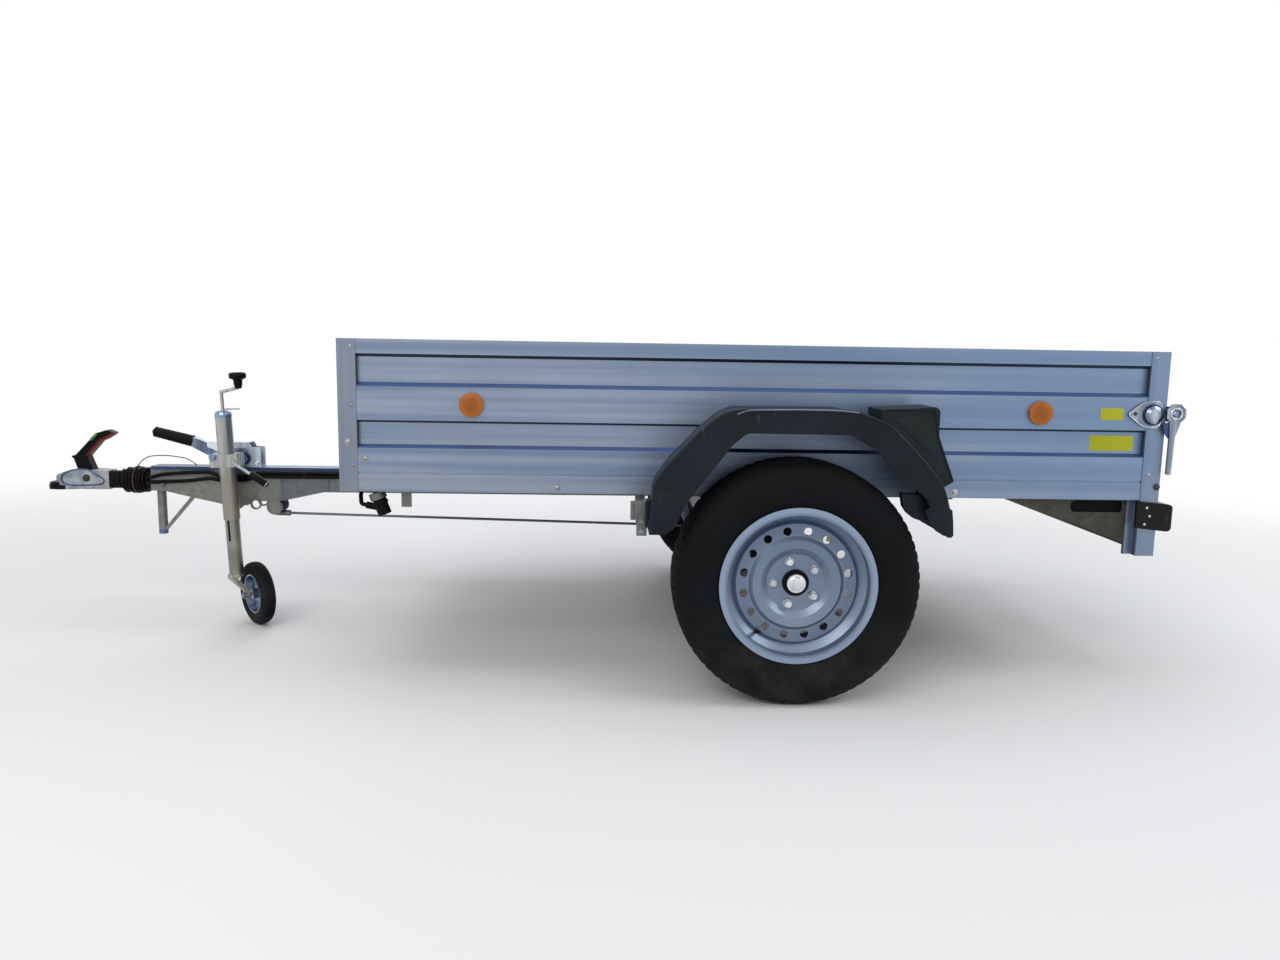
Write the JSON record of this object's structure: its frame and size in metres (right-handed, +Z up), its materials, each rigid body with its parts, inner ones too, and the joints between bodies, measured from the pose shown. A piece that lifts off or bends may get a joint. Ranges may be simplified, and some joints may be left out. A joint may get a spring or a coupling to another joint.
{
  "type": "utility trailer",
  "caption": "Open box utility trailer with aluminium side walls, braked drawbar with ball coupling, jockey wheel, black mudguards and a drop-down tailgate.",
  "frame": {"origin": "on the ground below the middle of the trailer's overall length and width", "axes": "+X forward to the coupling, +Y to the trailer's left side, +Z up"},
  "size_m": [3.239, 1.596, 0.889],
  "materials": {
    "floor_plywood": "phenolic faced, mesh side up",
    "side_aluminium": "fine rolled lines, satin",
    "galvanised_steel": "hot-dip galvanised, dull",
    "amber_lens": "prismatic",
    "coupling_cast": "zinc-plated casting",
    "black_plastic": "moulded, dull",
    "bellows_rubber": "dull",
    "zinc_plate": "bright zinc",
    "tyre_rubber": "dull",
    "rim_silver": "silver paint",
    "latch_zinc": "bright",
    "chock_plastic": "moulded, dull",
    "drum_iron": "black painted casting",
    "red_lens": "prismatic"
  },
  "bodies": {
    "chassis": {"floor_board": "floor_plywood", "front_panel": "side_aluminium", "drawbar": "galvanised_steel", "drawbar_side_plates": "galvanised_steel", "axle_beam": "galvanised_steel", "light_carrier": "galvanised_steel", "reflectors": "amber_lens", "hinge_carriers": "galvanised_steel", "coupling_head": "coupling_cast", "coupling_handle": "black_plastic", "coupling_bellows": "bellows_rubber", "lead_winding": "bellows_rubber", "lead_runs": "bellows_rubber", "breakaway_cable": "black_plastic", "handbrake_housing": "zinc_plate", "handbrake_lever": "zinc_plate", "handbrake_grip": "black_plastic", "brake_rod": "galvanised_steel", "support_foot": "galvanised_steel", "plug_holder": "galvanised_steel", "plug": "black_plastic", "jockey_clamp": "zinc_plate", "jockey_clamp_handle": "zinc_plate", "jockey_outer_tube": "zinc_plate", "jockey_crank": "zinc_plate", "cross_beams": "galvanised_steel", "side_beams": "galvanised_steel", "mudguard_stays": "galvanised_steel", "latch_keepers": "latch_zinc", "side_panel_left": "side_aluminium", "side_panel_right": "side_aluminium", "front_post_left": "side_aluminium", "front_post_right": "side_aluminium", "rear_post_left": "side_aluminium", "rear_post_right": "side_aluminium", "mudguard_left": "black_plastic", "mudguard_right": "black_plastic", "wheel_chock_left": "chock_plastic", "wheel_chock_right": "chock_plastic", "axle_arm_left": "galvanised_steel", "axle_arm_right": "galvanised_steel", "tail_lamp_left": "red_lens", "tail_lamp_right": "red_lens"},
    "tailgate": {"gate_panel": "side_aluminium", "gate_hinges": "galvanised_steel", "gate_latches": "latch_zinc"},
    "wheel_left": {"wheel_tyre_left": "tyre_rubber", "wheel_rim_left": "rim_silver", "wheel_drum_left": "drum_iron"},
    "wheel_right": {"wheel_tyre_right": "tyre_rubber", "wheel_rim_right": "rim_silver", "wheel_drum_right": "drum_iron"},
    "jockey_tube": {"jockey_inner_tube": "zinc_plate"},
    "jockey_swivel": {"jockey_fork": "zinc_plate"},
    "jockey_wheel": {"jockey_tyre": "tyre_rubber", "jockey_rim": "rim_silver"}
  },
  "joints": [
    {"name": "wheel_left_spin", "type": "hinge", "parent": "chassis", "child": "wheel_left", "pos_m": [-0.5865, 0.695, 0.307], "axis": [0, 1, 0], "continuous": true},
    {"name": "wheel_right_spin", "type": "hinge", "parent": "chassis", "child": "wheel_right", "pos_m": [-0.5865, -0.695, 0.307], "axis": [0, 1, 0], "continuous": true},
    {"name": "tailgate_hinge", "type": "hinge", "parent": "chassis", "child": "tailgate", "pos_m": [-1.5925, 0, 0.5], "axis": [0, -1, 0], "range_deg": [0, 170]},
    {"name": "jockey_slide", "type": "slide", "parent": "chassis", "child": "jockey_tube", "axis": [0.0419, 0, 0.9991], "range_m": [-0.065, 0.09]},
    {"name": "jockey_swivel_turn", "type": "hinge", "parent": "jockey_tube", "child": "jockey_swivel", "pos_m": [1.0395, 0.095, 0.517], "axis": [0.0419, 0, 0.9991], "continuous": true},
    {"name": "jockey_wheel_spin", "type": "hinge", "parent": "jockey_swivel", "child": "jockey_wheel", "pos_m": [0.96801, 0.08012, 0.0982], "axis": [-0.7425, -0.6691, 0.0311], "continuous": true}
  ]
}
